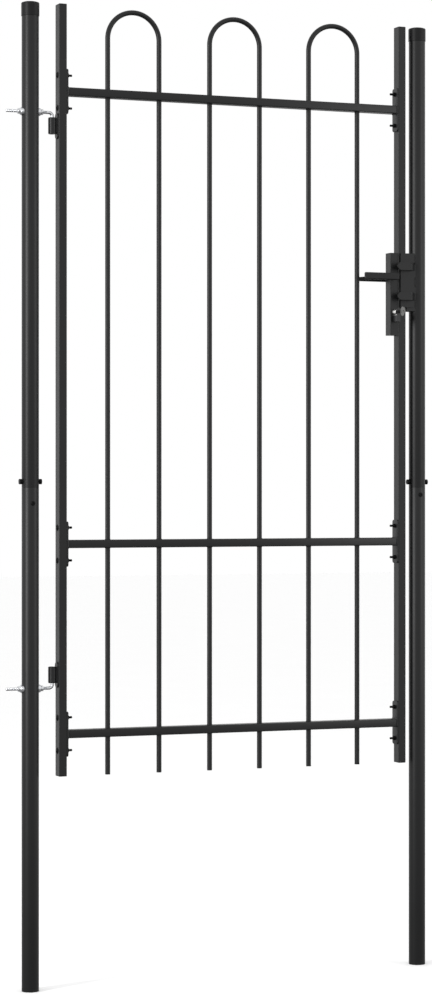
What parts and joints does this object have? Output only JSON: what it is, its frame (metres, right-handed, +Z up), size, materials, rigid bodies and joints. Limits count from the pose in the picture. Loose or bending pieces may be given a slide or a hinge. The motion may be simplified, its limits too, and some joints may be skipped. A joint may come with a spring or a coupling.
{
  "type": "garden gate",
  "caption": "Tall tubular steel garden gate: hairpin bars on cross rails, hung between round posts on rod hinges, with a lever lock, key cylinder and keep.",
  "frame": {"origin": "centre of the hinge post's foot, on the plane of both posts' lower ends", "axes": "+X from the hinge post to the lock post, +Z up, +Y towards the side the leaf opens to; the levers, key and stop plate's face are seen from -Y"},
  "size_m": [1.1322, 0.112, 2.3998],
  "materials": {
    "powder_coat": "fine-textured satin powder coat, anthracite",
    "lever_coat": "smooth satin powder coat, near black",
    "black_plastic": "moulded, slightly glossy",
    "bearing_plastic": "moulded nylon",
    "bright_zinc": "bright zinc plating",
    "dark_fastener": "coated with the frame",
    "zinc_plate": "zinc plated steel",
    "nickel": "satin nickel plating",
    "spring_steel": "bright drawn wire",
    "galvanised": "galvanised",
    "rubber": "matt"
  },
  "bodies": {
    "frame": {"hinge_post_lower": "powder_coat", "hinge_post_upper": "powder_coat", "hinge_post_sleeve": "galvanised", "hinge_post_cap": "black_plastic", "lock_post_lower": "powder_coat", "lock_post_upper": "powder_coat", "lock_post_sleeve": "galvanised", "lock_post_cap": "black_plastic", "sleeve_bolts": "dark_fastener", "sleeve_nuts": "dark_fastener", "sleeve_screws": "dark_fastener", "upper_hinge_bolt": "bright_zinc", "lower_hinge_bolt": "bright_zinc", "hinge_nuts": "bright_zinc", "hinge_saddles": "bright_zinc", "keep_box": "powder_coat", "keep_plate": "powder_coat", "keep_fingers": "powder_coat", "keep_buffers": "rubber"},
    "leaf": {"hinge_upright": "powder_coat", "lock_upright": "powder_coat", "upright_plugs": "black_plastic", "top_rail": "powder_coat", "middle_rail": "powder_coat", "bottom_rail": "powder_coat", "rail_end_plates": "powder_coat", "frame_bolts": "dark_fastener", "frame_nuts": "dark_fastener", "left_hoop": "powder_coat", "middle_hoop": "powder_coat", "right_hoop": "powder_coat", "hoop_plugs": "black_plastic", "upper_hinge_barrel": "powder_coat", "lower_hinge_barrel": "powder_coat", "upper_barrel_plate": "powder_coat", "lower_barrel_plate": "powder_coat", "barrel_bushes": "bearing_plastic", "lock_case": "powder_coat", "lock_cover": "powder_coat", "cover_screws": "zinc_plate", "spindle_bushes": "bearing_plastic", "cylinder_body": "nickel", "rear_plug": "nickel", "cylinder_screw": "zinc_plate"},
    "handle": {"front_lever": "lever_coat", "back_lever": "lever_coat", "lever_screws": "zinc_plate", "spindle": "zinc_plate", "follower": "zinc_plate", "return_spring": "spring_steel"},
    "latch": {"latch_bolt": "zinc_plate"},
    "dead_bolt": {"dead_bolt": "zinc_plate"},
    "key_cylinder": {"cylinder_plug": "nickel", "cylinder_cam": "nickel"},
    "key": {"key": "nickel"}
  },
  "joints": [
    {"name": "gate_swing", "type": "hinge", "parent": "frame", "child": "leaf", "pos_m": [0.056, 0, 1.4333], "axis": [0, 0, 1], "range_deg": [0, 100]},
    {"name": "handle_turn", "type": "hinge", "parent": "leaf", "child": "handle", "pos_m": [0.9675, 0, 1.758], "axis": [0, -1, 0], "range_deg": [0, 35], "stiffness_Nm_per_rad": 0.9, "springref_deg": -17.19},
    {"name": "latch_slide", "type": "slide", "parent": "leaf", "child": "latch", "axis": [-1, 0, 0], "range_m": [0, 0.0115]},
    {"name": "key_turn", "type": "hinge", "parent": "leaf", "child": "key_cylinder", "pos_m": [0.9725, 0, 1.668], "axis": [0, 1, 0], "range_deg": [0, 360]},
    {"name": "dead_bolt_slide", "type": "slide", "parent": "leaf", "child": "dead_bolt", "axis": [1, 0, 0], "range_m": [0, 0.016]},
    {"name": "key_pull", "type": "slide", "parent": "key_cylinder", "child": "key", "axis": [0, -1, 0], "range_m": [0, 0.032]}
  ],
  "couplings": [
    {"joint": "latch_slide", "follows": "handle_turn", "m_per_rad": 0.01882},
    {"joint": "key_turn", "follows": "dead_bolt_slide", "rad_per_m": 392.69}
  ]
}
